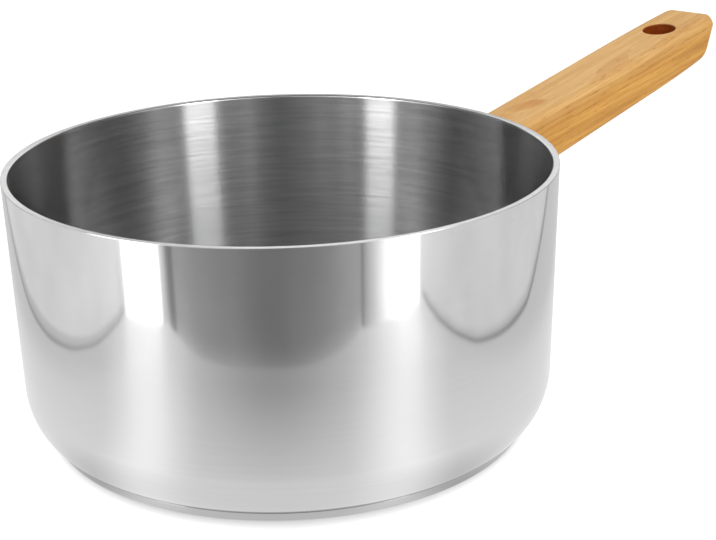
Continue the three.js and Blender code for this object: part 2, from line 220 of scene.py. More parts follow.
pan.data.materials.append(turned_steel(
    "polished_outside", dark=grey(0.634), light=grey(0.646), streaks=(20, 20, 900),
    sharp=0.07, smeared=0.20, drawn_out=0.60, smeared_share=0.32))
pan.data.materials.append(turned_steel(
    "brushed_inside", dark=grey(0.46), light=grey(0.585), streaks=(35, 35, 900),
    sharp=0.16, smeared=0.26, drawn_out=0.82, smeared_share=0.8))
pan.data.materials.append(turned_steel(
    "brushed_floor", dark=grey(0.42), light=grey(0.52), streaks=(260, 260, 900),
    sharp=0.30, smeared=0.40, drawn_out=0.3, smeared_share=0.6))
pan.data.materials.append(turned_steel(
    "ground_rim", dark=grey(0.66), light=grey(0.72), streaks=(300, 300, 900),
    sharp=0.16, smeared=0.24, drawn_out=0.3, smeared_share=0.5))
OUTSIDE, INSIDE, FLOOR, RIM = range(4)
for face in pan.data.polygons:
    outwards = face.normal.x * face.center.x + face.normal.y * face.center.y
    if face.center.z > RIM_HEIGHT - (RIM_BREAK if outwards > 0 else RIM_ROUND_INSIDE):
        face.material_index = RIM
    elif outwards > 0 or face.normal.z < LOOKS_DOWN:
        face.material_index = OUTSIDE
    elif face.normal.z > LOOKS_UP:
        face.material_index = FLOOR
    else:
        face.material_index = INSIDE
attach(pan, "root")
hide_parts("pan_body")

# Base core: a disc of rolled aluminium, pressed on under the vessel's floor to spread the heat.
# The cap closes over it, so only a hair of its edge shows in the seam.
CORE_EDGE = 0.0004
CORE_EDGE_STEPS = 4
core_low, core_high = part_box("base_core")
core_bottom_edge = (core_high.x - CORE_EDGE, core_low.z + CORE_EDGE)
core_top_edge = (core_high.x - CORE_EDGE, core_high.z - CORE_EDGE)
outline = [(0, core_low.z)]
outline += arc(core_bottom_edge, CORE_EDGE, CORE_EDGE, -90, 0, CORE_EDGE_STEPS)
outline += arc(core_top_edge, CORE_EDGE, CORE_EDGE, 0, 90, CORE_EDGE_STEPS)
outline += [(0, core_high.z)]
core = turned("base_disc", outline, TURN_STEPS)
smooth(core, CRISP_ANGLE)
core.data.materials.append(turned_steel(
    "rolled_aluminium", dark=(0.50, 0.50, 0.51), light=(0.62, 0.62, 0.63), streaks=(400, 400, 900),
    sharp=0.45, smeared=0.55, drawn_out=0.3, smeared_share=0.5))
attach(core, "root")
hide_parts("base_core")

# Base cap: a shallow cup drawn from thin magnetic steel and pressed on over the core, up against the foot.
# Its flat bottom, brushed in rings, is what the pan stands on. Its rounded edge is polished like the wall.
CAP_SHEET = 0.0006
CAP_ROUND = 0.0012
CAP_ROUND_STEPS = 8
CAP_LIP = 0.0001
CAP_LIP_STEPS = 4
CAP_BOTTOM_LOOKS_DOWN = -0.8
SEAM = 0.00012
cap_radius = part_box("base_cap")[1].x
cap_corner = (cap_radius - CAP_ROUND, CAP_ROUND)


def foot_height(radius):
    """Height of the vessel's underside at a radius."""
    share = max(0.0, radius - floor_radius) / FOOT_WIDTH
    return foot_top - FOOT_HEIGHT * math.sqrt(1 - share ** 2)


lip_height = foot_height(cap_radius) - SEAM
inner_round = CAP_ROUND - CAP_SHEET
outline = [(0, 0), (cap_corner[0] - RING_EDGE, 0)]
outline += arc(cap_corner, CAP_ROUND, CAP_ROUND, -90, 0, CAP_ROUND_STEPS)
outline += arc((cap_radius - CAP_LIP, lip_height - CAP_LIP), CAP_LIP, CAP_LIP, 0, 90, CAP_LIP_STEPS)
outline += [(cap_radius - CAP_SHEET, foot_height(cap_radius - CAP_SHEET) - SEAM)]
outline += arc(cap_corner, inner_round, inner_round, 0, -90, CAP_ROUND_STEPS)
outline += [(0, CAP_SHEET)]
cap = turned("base_cup", outline, TURN_STEPS)
smooth(cap, CRISP_ANGLE)
cap.data.materials.append(turned_steel(
    "polished_base_edge", dark=grey(0.50), light=grey(0.51), streaks=(20, 20, 900),
    sharp=0.10, smeared=0.20, drawn_out=0.60, smeared_share=0.32))
cap.data.materials.append(turned_steel(
    "brushed_base", dark=(0.52, 0.52, 0.515), light=(0.64, 0.64, 0.635), streaks=(350, 350, 350),
    sharp=0.26, smeared=0.36, drawn_out=0.5, smeared_share=0.5))
CAP_EDGE, CAP_BOTTOM = range(2)
for face in cap.data.polygons:
    face.material_index = CAP_BOTTOM if face.normal.z < CAP_BOTTOM_LOOKS_DOWN else CAP_EDGE
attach(cap, "root")
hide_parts("base_cap")

# Bracket: one stainless casting, blasted to a satin finish. Its pad is welded to the wall, and its flared
# neck and the rib below carry a flat tang, which the handle is pushed over and screwed to.
FIT = 0.0003  # clearance where one piece goes into or lies on another
HANDLE_BELOW_RIM = 0.017
HANDLE_SLOPE = math.radians(9.7)
THICKNESS_AT_START = 0.024
PAD_WIDTH = 0.046
PAD_HEIGHT = 0.034
PAD_CORNER = 0.008
PAD_THICKNESS = 0.003
NECK_FLARE = 0.030
NECK_LENGTH = 0.014
TANG_WIDTH = 0.016
TANG_THICKNESS = 0.005
TANG_REACH = 0.076
TANG_END_ROUND = 0.999  # of half its width
RIB_THICKNESS = 0.005
RIB_REACH = 0.015
RIB_DROP = 0.011
ROOT_LENGTH = 0.004
FRONT_SCREW_PLACE = 0.034
REAR_SCREW_PLACE = 0.062
SCREW_DIAMETER = 0.005
SCREW_HOLE_STEPS = 48
CORNER_STEPS = 8
CAST_GRAIN = 0.0005
CAST_SOFTENING = 0.5
CAST_SOFTENING_PASSES = 4
CAST_CRISP_ANGLE = 60
PIT_CELLS = (2600, 2600, 2600)  # per metre
PIT_STRENGTH, PIT_DEPTH = 0.35, 0.0002
CLOUD_CELLS = (90, 90, 90)
CLOUD_DETAIL = 3.0
CLOUD_RANGE = (0.3, 0.7)  # most of a noise's values lie here
tang_middle = -THICKNESS_AT_START / 2
tang_bottom = tang_middle - TANG_THICKNESS / 2
# The handle's own frame: x runs out along its top face from the wall, y across, z square to that face.
handle_frame = (Matrix.Translation((RIM_RADIUS, 0, RIM_HEIGHT - HANDLE_BELOW_RIM))
                @ Matrix.Rotation(-HANDLE_SLOPE, 4, "Y"))


def select_vertices(piece, wanted):
    """Selects the vertices of the piece in edit mode whose place passes the test."""
    mesh = bmesh.from_edit_mesh(piece.data)
    for vertex in mesh.verts:
        vertex.select_set(wanted(vertex.co))
    mesh.select_flush_mode()
    bmesh.update_edit_mesh(piece.data)


def flat_blank(name, low, high):
    """A rectangle between two corners (x, y), in edit mode."""
    deselect_all()
    bpy.ops.mesh.primitive_plane_add(size=1)
    piece = bpy.context.object
    piece.name = name
    bpy.ops.object.mode_set(mode="EDIT")
    bpy.ops.mesh.select_mode(type="VERT")
    bpy.ops.mesh.select_all(action="SELECT")
    bpy.ops.transform.resize(value=(high[0] - low[0], high[1] - low[1], 1))
    bpy.ops.transform.translate(value=((low[0] + high[0]) / 2, (low[1] + high[1]) / 2, 0))
    return piece


def slice_across(first, last, steps):
    """Cuts rows of edges across the x axis, so that the blank can follow a curve."""
    for k in range(1, steps):
        place = first + (last - first) * k / steps
        bpy.ops.mesh.select_all(action="SELECT")
        bpy.ops.mesh.bisect(plane_co=(place, 0, 0), plane_no=(1, 0, 0))
    bpy.ops.mesh.select_all(action="SELECT")


def thicken(amount):
    bpy.ops.mesh.select_all(action="SELECT")
    bpy.ops.mesh.extrude_region_move(TRANSFORM_OT_translate={"value": (0, 0, amount)})
    bpy.ops.mesh.select_all(action="SELECT")
    bpy.ops.mesh.normals_make_consistent(inside=False)
    bpy.ops.object.mode_set(mode="OBJECT")


def settle(piece, matrix):
    """Puts the piece's place into its mesh."""
    piece.data.transform(matrix)
    piece.data.update()


def face_outwards(piece):
    deselect_all()
    piece.select_set(True)
    bpy.context.view_layer.objects.active = piece
    bpy.ops.object.mode_set(mode="EDIT")
    bpy.ops.mesh.select_all(action="SELECT")
    bpy.ops.mesh.normals_make_consistent(inside=False)
    bpy.ops.object.mode_set(mode="OBJECT")


def combine(piece, other, operation):
    """Joins another solid to the piece or cuts it out of it."""
    change = piece.modifiers.new("change", "BOOLEAN")
    change.operation = operation
    change.object = other
    change.solver = "EXACT"
    deselect_all()
    bpy.context.view_layer.objects.active = piece
    bpy.ops.object.modifier_apply(modifier=change.name)
    bpy.data.objects.remove(other, do_unlink=True)


def tang_blank(name, clearance):
    """Neck and tang from above, in the handle's frame, grown all round by a clearance."""
    half = TANG_WIDTH / 2 + clearance
    reach = TANG_REACH + clearance
    flare = (NECK_FLARE / 2 + clearance) / half
    piece = flat_blank(name, (-ROOT_LENGTH, -half), (reach, half))
    select_vertices(piece, lambda place: place.x > reach / 2)
    bpy.ops.mesh.bevel(offset=half * TANG_END_ROUND, segments=CORNER_STEPS * 2, affect="VERTICES")
    slice_across(-ROOT_LENGTH, NECK_LENGTH, CORNER_STEPS * 2)
    thicken(TANG_THICKNESS + 2 * clearance)
    for vertex in piece.data.vertices:
        along = max(0.0, min(1.0, 1 - vertex.co.x / NECK_LENGTH))
        vertex.co.y *= 1 + (flare - 1) * along ** 2
        vertex.co.z += tang_bottom - clearance
    return piece


def keep_off_wall(piece):
    """Stops what grows out of the pad in the middle of its thickness."""
    for vertex in piece.data.vertices:
        radius = wall_radius(vertex.co.z) + FIT + PAD_THICKNESS / 2
        vertex.co.x = max(vertex.co.x, math.sqrt(radius ** 2 - vertex.co.y ** 2))


pad_middle = RIM_HEIGHT - HANDLE_BELOW_RIM + tang_bottom
bracket = flat_blank("bracket", (-PAD_WIDTH / 2, -PAD_HEIGHT / 2), (PAD_WIDTH / 2, PAD_HEIGHT / 2))
bpy.ops.mesh.bevel(offset=PAD_CORNER, segments=CORNER_STEPS, affect="VERTICES")
slice_across(-PAD_WIDTH / 2, PAD_WIDTH / 2, CORNER_STEPS * 3)
thicken(PAD_THICKNESS)
for vertex in bracket.data.vertices:
    across, up, out = vertex.co
    height = pad_middle + up
    radius = wall_radius(height) + FIT + out
    vertex.co = (math.sqrt(radius ** 2 - across ** 2), across, height)

tang = tang_blank("tang", 0)
settle(tang, handle_frame)
keep_off_wall(tang)
rib = flat_blank("rib", (-ROOT_LENGTH, 0), (RIB_REACH, tang_middle - tang_bottom))
slice_across(-ROOT_LENGTH, RIB_REACH, CORNER_STEPS * 2)
thicken(RIB_THICKNESS)
for vertex in rib.data.vertices:
    place, up, side = vertex.co
    along = max(0.0, min(1.0, 1 - place / RIB_REACH))
    drop = RIB_DROP * along ** 2 if up < RING_EDGE else 0
    vertex.co = (place, RIB_THICKNESS / 2 - side, tang_bottom + up - drop)
settle(rib, handle_frame)
keep_off_wall(rib)
for blank in (bracket, tang, rib):
    face_outwards(blank)
combine(bracket, tang, "UNION")
combine(bracket, rib, "UNION")

bore_radius = SCREW_DIAMETER / 2 + FIT
for place in (FRONT_SCREW_PLACE, REAR_SCREW_PLACE):
    outline = [(0, -TANG_THICKNESS), (bore_radius, -TANG_THICKNESS)]
    outline += [(bore_radius, TANG_THICKNESS), (0, TANG_THICKNESS)]
    hole = turned("hole", outline, SCREW_HOLE_STEPS)
    settle(hole, handle_frame @ Matrix.Translation((place, 0, tang_middle)))
    combine(bracket, hole, "DIFFERENCE")

cast = bracket.modifiers.new("cast", "REMESH")
cast.mode = "VOXEL"
cast.voxel_size = CAST_GRAIN
soften = bracket.modifiers.new("soften", "SMOOTH")
soften.factor = CAST_SOFTENING
soften.iterations = CAST_SOFTENING_PASSES
bpy.context.view_layer.objects.active = bracket
bpy.ops.object.modifier_apply(modifier=cast.name)
bpy.ops.object.modifier_apply(modifier=soften.name)
smooth(bracket, CAST_CRISP_ANGLE)


def blasted_steel(name, dark, light, rough):
    """Satin steel: an even grain of tiny pits, a little cloudy."""
    material, tree, place = new_material(name)
    pits = noise(tree, place, PIT_CELLS)
    clouds = noise(tree, place, CLOUD_CELLS, CLOUD_DETAIL)
    bump = node(tree, "Bump", {"Strength": PIT_STRENGTH, "Distance": PIT_DEPTH, "Height": pits})
    close(tree, node(tree, "BsdfPrincipled", {
        "Base Color": two_tone(tree, clouds, dark, light),
        "Metallic": 1.0,
        "Roughness": spread(tree, clouds, *rough, *CLOUD_RANGE),
        "Normal": bump.outputs[0],
    }))
    return material


bracket.data.materials.append(blasted_steel(
    "blasted_steel", dark=(0.50, 0.50, 0.495), light=(0.60, 0.60, 0.595), rough=(0.34, 0.44)))
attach(bracket, "root")
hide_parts("handle_bracket")

# Handle: one length of oak, tapered, with soft long edges and a leaning rounded tip with a hanging hole.
# A blind slot takes the tang, two counterbored holes below take the screws, and the wood is oiled.
HANDLE_START = 0.018
HANDLE_TIP = 0.1845
WIDTH_AT_START = 0.0274
WIDTH_AT_TIP = 0.0304
THICKNESS_AT_TIP = 0.0199
EDGE_ROUND = 0.0045
BUTT_ROUND = 0.0015
NOSE_LEAN = math.radians(34.5)
NOSE_LENGTH = 0.060
NOSE_CROWN = 0.0030
NOSE_SOFTENED = 0.10
NOSE_ROUND_TOP = 0.0065
NOSE_ROUND_SIDE = 0.004
NOSE_ROUND_BOTTOM = 0.0105
BOTTOM_ROUND_LENGTH = 0.0087
BUTT_STEPS, STRAIGHT_STEPS, NOSE_STEPS = 4, 40, 14
HANG_HOLE_RADIUS = 0.0075
HANG_HOLE_PLACE = 0.1521
HANG_HOLE_EDGE = 0.001
HANG_HOLE_STEPS, HANG_HOLE_EDGE_STEPS = 96, 6
WASHER_RADIUS = 0.0055
COUNTERBORE_DEPTH = 0.0052
COUNTERBORE_EDGE = 0.0005
COUNTERBORE_STEPS, COUNTERBORE_EDGE_STEPS = 64, 4
SCREW_PROUD = 0.0025
WOOD_CRISP_ANGLE = 35


def handle_share(place):
    return (place - HANDLE_START) / (HANDLE_TIP - HANDLE_START)


def handle_thickness(place):
    return THICKNESS_AT_START + (THICKNESS_AT_TIP - THICKNESS_AT_START) * handle_share(place)


def handle_width(place):
    return WIDTH_AT_START + (WIDTH_AT_TIP - WIDTH_AT_START) * handle_share(place)


def rounded_off(into, length, depth):
    """How much a rounded end takes off, at a distance into the rounding."""
    share = max(0.0, min(1.0, into / length))
    return depth * (1 - math.sqrt(1 - share ** 2))


def handle_section(place):
    """Width, thickness and middle height of the handle at a place, less at the rounded ends."""
    butt = rounded_off(HANDLE_START + BUTT_ROUND - place, BUTT_ROUND, BUTT_ROUND)
    into_nose = place - HANDLE_TIP + NOSE_ROUND_TOP
    side = butt + rounded_off(into_nose, NOSE_ROUND_TOP, NOSE_ROUND_SIDE)
    top = butt + rounded_off(into_nose, NOSE_ROUND_TOP, NOSE_ROUND_TOP)
    into_bottom = place - HANDLE_TIP + BOTTOM_ROUND_LENGTH
    bottom = butt + rounded_off(into_bottom, BOTTOM_ROUND_LENGTH, NOSE_ROUND_BOTTOM)
    thickness = handle_thickness(place) - top - bottom
    return handle_width(place) - 2 * side, thickness, -top - thickness / 2


stations = []
for k in range(BUTT_STEPS + 1):
    stations.append(HANDLE_START + BUTT_ROUND * (1 - math.cos(math.pi / 2 * k / BUTT_STEPS)))
straight_start = HANDLE_START + BUTT_ROUND + RING_EDGE
straight_end = HANDLE_TIP - BOTTOM_ROUND_LENGTH - RING_EDGE
for k in range(STRAIGHT_STEPS + 1):
    stations.append(straight_start + (straight_end - straight_start) * k / STRAIGHT_STEPS)
for k in range(NOSE_STEPS + 1):
    stations.append(HANDLE_TIP - BOTTOM_ROUND_LENGTH * (1 - math.sin(math.pi / 2 * k / NOSE_STEPS)))

width, thickness, middle = WIDTH_AT_START, THICKNESS_AT_START, -THICKNESS_AT_START / 2
handle = flat_blank("oak_handle", (-thickness / 2, -width / 2), (thickness / 2, width / 2))
bpy.ops.mesh.bevel(offset=EDGE_ROUND, segments=CORNER_STEPS, affect="VERTICES")
bpy.ops.mesh.select_all(action="SELECT")
bpy.ops.object.mode_set(mode="OBJECT")
settle(handle, Matrix.Translation((HANDLE_START, 0, middle)) @ Matrix.Rotation(math.radians(90), 4, "Y"))
bpy.ops.object.mode_set(mode="EDIT")
last_size = (width, thickness, middle)
last_place = HANDLE_START
for count, place in enumerate(stations):
    width, thickness, middle = handle_section(place)
    step = (place - last_place, 0, middle - last_size[2])
    if count == 0:
        bpy.ops.transform.translate(value=step)
    else:
        bpy.ops.mesh.extrude_region_move(TRANSFORM_OT_translate={"value": step})
    shrink = (1, width / last_size[0], thickness / last_size[1])
    bpy.ops.transform.resize(value=shrink, center_override=(place, 0, middle))
    last_size = (width, thickness, middle)
    last_place = place
bpy.ops.mesh.select_all(action="SELECT")
bpy.ops.mesh.normals_make_consistent(inside=False)
bpy.ops.object.mode_set(mode="OBJECT")
for vertex in handle.data.vertices:
    place, across, up = vertex.co
    width, thickness, middle = handle_section(place)
    build = max(0.0, (place - HANDLE_TIP + NOSE_LENGTH) / NOSE_LENGTH) ** 2
    to_side, to_top = 2 * across / width, 2 * (up - middle) / thickness
    across *= 1 - NOSE_SOFTENED * build * to_top ** 4
    up = middle + (up - middle) * (1 - NOSE_SOFTENED * build * to_side ** 4)
    lean = build * math.tan(NOSE_LEAN) * -up
    bow = build * NOSE_CROWN * (2 * across / handle_width(place)) ** 2
    vertex.co = (place - lean - bow, across, up)

combine(handle, tang_blank("slot", FIT), "DIFFERENCE")
washer_seat = COUNTERBORE_DEPTH - handle_thickness(REAR_SCREW_PLACE)
counter_radius = WASHER_RADIUS + FIT
eased_radius = counter_radius + COUNTERBORE_EDGE
screw_tip = tang_bottom + TANG_THICKNESS + SCREW_PROUD
bore_end = screw_tip + FIT
for place in (FRONT_SCREW_PLACE, REAR_SCREW_PLACE):
    mouth = -handle_thickness(place)
    mouth_edge = (eased_radius, mouth + COUNTERBORE_EDGE)
    outline = [(0, mouth - COUNTERBORE_DEPTH), (eased_radius, mouth - COUNTERBORE_DEPTH)]
    outline += arc(mouth_edge, COUNTERBORE_EDGE, COUNTERBORE_EDGE, -90, -180, COUNTERBORE_EDGE_STEPS)
    outline += [(counter_radius, washer_seat), (bore_radius, washer_seat), (bore_radius, bore_end)]
    outline += [(0, bore_end + bore_radius / 2)]
    bore = turned("bore", outline, COUNTERBORE_STEPS)
    settle(bore, Matrix.Translation((place, 0, 0)))
    combine(handle, bore, "DIFFERENCE")
hole_mouth = HANG_HOLE_RADIUS + HANG_HOLE_EDGE
hole_bottom = -handle_thickness(HANG_HOLE_PLACE)
lower_edge = (hole_mouth, hole_bottom + HANG_HOLE_EDGE)
upper_edge = (hole_mouth, -HANG_HOLE_EDGE)
outline = [(0, hole_bottom - HANG_HOLE_RADIUS), (hole_mouth, hole_bottom - HANG_HOLE_RADIUS)]
outline += arc(lower_edge, HANG_HOLE_EDGE, HANG_HOLE_EDGE, -90, -180, HANG_HOLE_EDGE_STEPS)
outline += arc(upper_edge, HANG_HOLE_EDGE, HANG_HOLE_EDGE, 180, 90, HANG_HOLE_EDGE_STEPS)
outline += [(hole_mouth, HANG_HOLE_RADIUS), (0, HANG_HOLE_RADIUS)]
drill = turned("drill", outline, HANG_HOLE_STEPS)
settle(drill, Matrix.Translation((HANG_HOLE_PLACE, 0, 0)))
combine(handle, drill, "DIFFERENCE")
settle(handle, handle_frame)
smooth(handle, WOOD_CRISP_ANGLE)
even_normals(handle)

PITH_ACROSS, PITH_BELOW = 0.004, 0.085  # middle of the tree, from the middle of the handle's top face
TREE_TAPER = 0.012
YEAR_WIDTH = 0.0027
YEAR_WANDER, WANDER_CELLS = 0.0035, (14, 60, 60)  # cells per metre along, across and up
EARLY_WOOD = 0.6  # share of a year's growth
EARLY_WOOD_TINT, EARLY_WOOD_SHARE = (0.86, 0.72, 0.55), 0.5
BODY_OAK = ((0.66, 0.325, 0.068), (0.86, 0.475, 0.116))  # dark and light streaks
# The top face's paler oak is painted sheen, where the top catches the light from above. It fades in between
# these heights below the top.
SHEEN_PAINTED_TOP_OAK = ((0.70, 0.41, 0.148), (0.81, 0.52, 0.222))
SHEEN_PAINTED_TOP_DEPTH = (-0.0065, -0.0005)
OAK_STREAK_CELLS = (14, 300, 300)
OAK_STREAK_RANGE = (0.3, 0.7)
FLAME_PLACE = (0.048, 0.0007, 0)
FLAME_TURN = math.radians(-23)
FLAME_SIZE = (0.0100, 0.0042, 1)
FLAME_RISE, FLAME_REACH = 0.0016, 1.6
FLAME_EDGE = (1.2, 0.7)
FLAME_START, FLAME_START_SHARE = (0.042, 0.054), 0.65  # it is paler on the side of the pan
FLAME_TINT = (0.84, 0.66, 0.47)
FIBRE_CELLS = (45, 1500, 1500)
FIBRE_RANGE = (0.35, 0.65)
FIBRE_TINT, FIBRE_SHARE = (0.84, 0.74, 0.60), 0.7
PORE_CELLS, PORE_DETAIL = (160, 1900, 1900), 1.0
PORE_RANGE = (0.58, 0.70)
PORES_IN_LATE_WOOD = 0.3
PORE_TINT, PORE_SHARE = (0.66, 0.48, 0.30), 0.8
HOLE_SHADE_TINT = (0.41, 0.135, 0.035)
HOLE_SHADE_DEPTH = (0.00005, 0.0004)  # how far past the hanging hole's wall the painted shade reaches
OILED_ROUGHNESS, OILED_RANGE = (0.42, 0.6), (0.3, 0.7)
OILED_GLOSS = 0.25
PORE_SINK = 0.8
GRAIN_STRENGTH, GRAIN_DEPTH = 0.2, 0.0003


def reckon(tree, value, *steps):
    """A value carried through (operation, operand) steps."""
    for operation, operand in steps:
        value = node(tree, "Math", {0: value, 1: operand}, operation=operation).outputs[0]
    return value


def eased(tree, value, start, end):
    """Rises from 0 to 1 between two values, softly at both."""
    inputs = {"Value": value, "From Min": start, "From Max": end}
    return node(tree, "MapRange", inputs, interpolation_type="SMOOTHSTEP").outputs[0]


def length_of(tree, vector):
    return node(tree, "VectorMath", {0: vector}, operation="LENGTH").outputs["Value"]


def stain(tree, share, colour, tint):
    """Multiplies a colour by a tint, by a share that a pattern gives."""
    return mixed(tree, share, colour, (*tint, 1), "MULTIPLY")


def oiled_oak(name):
    """Flat-sawn oak: growth rings round a pith below the handle, a small flame in the grain near the pan,
    dark pores and fine fibres along it, paler on top as painted sheen, and darker on the hanging hole's
    wall as painted shade."""
    material, tree, place = new_material(name)
    in_handle = node(tree, "Mapping", {
        "Vector": place, "Location": handle_frame.to_translation(), "Rotation": (0, -HANDLE_SLOPE, 0)},
        vector_type="TEXTURE").outputs[0]
    along, across, up = node(tree, "SeparateXYZ", {"Vector": in_handle}).outputs

    from_pith = node(tree, "CombineXYZ", {
        "X": reckon(tree, across, ("SUBTRACT", PITH_ACROSS)), "Y": reckon(tree, up, ("ADD", PITH_BELOW))})
    in_flame = node(tree, "Mapping", {
        "Vector": in_handle, "Location": FLAME_PLACE, "Rotation": (0, 0, FLAME_TURN), "Scale": FLAME_SIZE},
        vector_type="TEXTURE").outputs[0]
    flat_flame = node(tree, "VectorMath", {0: in_flame, 1: (1, 1, 0)}, operation="MULTIPLY").outputs[0]
    from_flame = length_of(tree, flat_flame)
    wander = reckon(tree, noise(tree, in_handle, WANDER_CELLS), ("MULTIPLY", YEAR_WANDER))
    rise = reckon(tree, eased(tree, from_flame, FLAME_REACH, 0.0), ("MULTIPLY", FLAME_RISE))
    ring = reckon(tree, along, ("MULTIPLY", TREE_TAPER), ("ADD", length_of(tree, from_pith.outputs[0])),
                  ("ADD", wander), ("ADD", rise))
    year = reckon(tree, ring, ("DIVIDE", YEAR_WIDTH), ("FRACT", 0))
    early = eased(tree, year, EARLY_WOOD, 0.0)

    fibres = noise(tree, in_handle, FIBRE_CELLS)
    streaks = spread(tree, noise(tree, in_handle, OAK_STREAK_CELLS), 0, 1, *OAK_STREAK_RANGE)
    cells = spread(tree, noise(tree, in_handle, PORE_CELLS, PORE_DETAIL), 0, 1, *PORE_RANGE)
    pores = reckon(tree, cells, ("MULTIPLY", spread(tree, early, PORES_IN_LATE_WOOD, 1.0)))
    # top is the paler copy of the oak, painted sheen, blended in towards the top face.
    body, top = two_tone(tree, streaks, *BODY_OAK), two_tone(tree, streaks, *SHEEN_PAINTED_TOP_OAK)
    colour = mixed(tree, spread(tree, up, 0, 1, *SHEEN_PAINTED_TOP_DEPTH), body, top)
    flame = reckon(tree, spread(tree, along, FLAME_START_SHARE, 1.0, *FLAME_START),
                   ("MULTIPLY", eased(tree, from_flame, *FLAME_EDGE)))
    colour = stain(tree, flame, colour, FLAME_TINT)
    colour = stain(tree, spread(tree, early, 0.0, EARLY_WOOD_SHARE), colour, EARLY_WOOD_TINT)
    colour = stain(tree, spread(tree, fibres, FIBRE_SHARE, 0.0, *FIBRE_RANGE), colour, FIBRE_TINT)
    colour = stain(tree, spread(tree, pores, 0.0, PORE_SHARE), colour, PORE_TINT)
    # Painted shade: the oak is darkened on the hanging hole's wall and round its mouth.
    from_hole = node(tree, "CombineXYZ", {
        "X": reckon(tree, along, ("SUBTRACT", HANG_HOLE_PLACE)), "Y": across})
    past_wall = reckon(tree, length_of(tree, from_hole.outputs[0]), ("SUBTRACT", HANG_HOLE_RADIUS))
    colour = stain(tree, spread(tree, past_wall, 1, 0, *HOLE_SHADE_DEPTH), colour, HOLE_SHADE_TINT)

    relief = reckon(tree, pores, ("MULTIPLY", -PORE_SINK), ("ADD", fibres))
    bump = node(tree, "Bump", {"Strength": GRAIN_STRENGTH, "Distance": GRAIN_DEPTH, "Height": relief})
    close(tree, node(tree, "BsdfPrincipled", {
        "Base Color": colour,
        "Roughness": spread(tree, fibres, *OILED_ROUGHNESS, *OILED_RANGE),
        "Specular IOR Level": OILED_GLOSS,
        "Normal": bump.outputs[0],
    }))
    return material


handle.data.materials.append(oiled_oak("oiled_oak"))
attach(handle, "root")
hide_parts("handle")

# Washers: two plain rings stamped from stainless sheet, with their outer edges tumbled soft.
# Each lies at the bottom of a counterbore in the oak and spreads the pull of its screw.
WASHER_THICKNESS = 0.001
WASHER_EDGE = 0.00015
WASHER_EDGE_STEPS = 3
FASTENER_STEPS = 64
washer_top = washer_seat - FIT
washer_bottom = washer_top - WASHER_THICKNESS
washer_ring = WASHER_RADIUS - WASHER_EDGE
lower_edge = (washer_ring, washer_bottom + WASHER_EDGE)
upper_edge = (washer_ring, washer_top - WASHER_EDGE)


def fitted_copy(piece, name, place):
    """A copy of a fastener, put at its place along the handle."""
    made = piece.copy()
    made.data = piece.data.copy()
    made.name = name
    bpy.context.scene.collection.objects.link(made)
    settle(made, handle_frame @ Matrix.Translation((place, 0, 0)))
    return made


outline = [(bore_radius, washer_bottom)]
outline += arc(lower_edge, WASHER_EDGE, WASHER_EDGE, -90, 0, WASHER_EDGE_STEPS)
outline += arc(upper_edge, WASHER_EDGE, WASHER_EDGE, 0, 90, WASHER_EDGE_STEPS)
outline += [(bore_radius, washer_top), (bore_radius, washer_bottom)]
plain_washer = turned("plain_washer", outline, FASTENER_STEPS)
smooth(plain_washer, CRISP_ANGLE)
fastener_steel = turned_steel(
    "fastener_steel", dark=(0.50, 0.50, 0.495), light=(0.60, 0.60, 0.595), streaks=(600, 600, 600),
    sharp=0.24, smeared=0.34, drawn_out=0.0, smeared_share=0.5)
plain_washer.data.materials.append(fastener_steel)
for end, place in (("front", FRONT_SCREW_PLACE), ("rear", REAR_SCREW_PLACE)):
    washer = fitted_copy(plain_washer, end + "_plain_washer", place)
    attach(washer, "root")
    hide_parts(end + "_washer")
bpy.data.objects.remove(plain_washer, do_unlink=True)

# Screws: two M5 button-head screws of stainless steel with a hexagon socket, cold headed.
# They come up from below through washer, oak and tang, and hold the handle to the bracket.
HEAD_RADIUS = 0.00475
HEAD_HEIGHT = 0.0028
HEAD_FLAT = 0.003
HEAD_STEPS = 10
SOCKET_SIDES = 6
SOCKET_ACROSS = 0.003
SOCKET_DEPTH = 0.0016
TIP_BEVEL = 0.0004
head_top = washer_bottom - FIT
head_bottom = head_top - HEAD_HEIGHT
shank_radius = SCREW_DIAMETER / 2
outline = [(0, head_bottom), (HEAD_FLAT - RING_EDGE, head_bottom)]
outline += arc((HEAD_FLAT, head_top), HEAD_RADIUS - HEAD_FLAT, HEAD_HEIGHT, -90, 0, HEAD_STEPS)
outline += [(shank_radius, head_top), (shank_radius, screw_tip - TIP_BEVEL)]
outline += [(shank_radius - TIP_BEVEL, screw_tip), (0, screw_tip)]
button_screw = turned("button_screw", outline, FASTENER_STEPS)
deselect_all()
bpy.ops.mesh.primitive_cylinder_add(
    vertices=SOCKET_SIDES, radius=SOCKET_ACROSS / 2 / math.cos(math.pi / SOCKET_SIDES),
    depth=2 * SOCKET_DEPTH, location=(0, 0, head_bottom))
socket = bpy.context.object
bpy.ops.object.transform_apply(location=True)
combine(button_screw, socket, "DIFFERENCE")
smooth(button_screw, CRISP_ANGLE)
button_screw.data.materials.append(fastener_steel)
for end, place in (("front", FRONT_SCREW_PLACE), ("rear", REAR_SCREW_PLACE)):
    screw = fitted_copy(button_screw, end + "_button_screw", place)
    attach(screw, "root")
    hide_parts(end + "_screw")
bpy.data.objects.remove(button_screw, do_unlink=True)

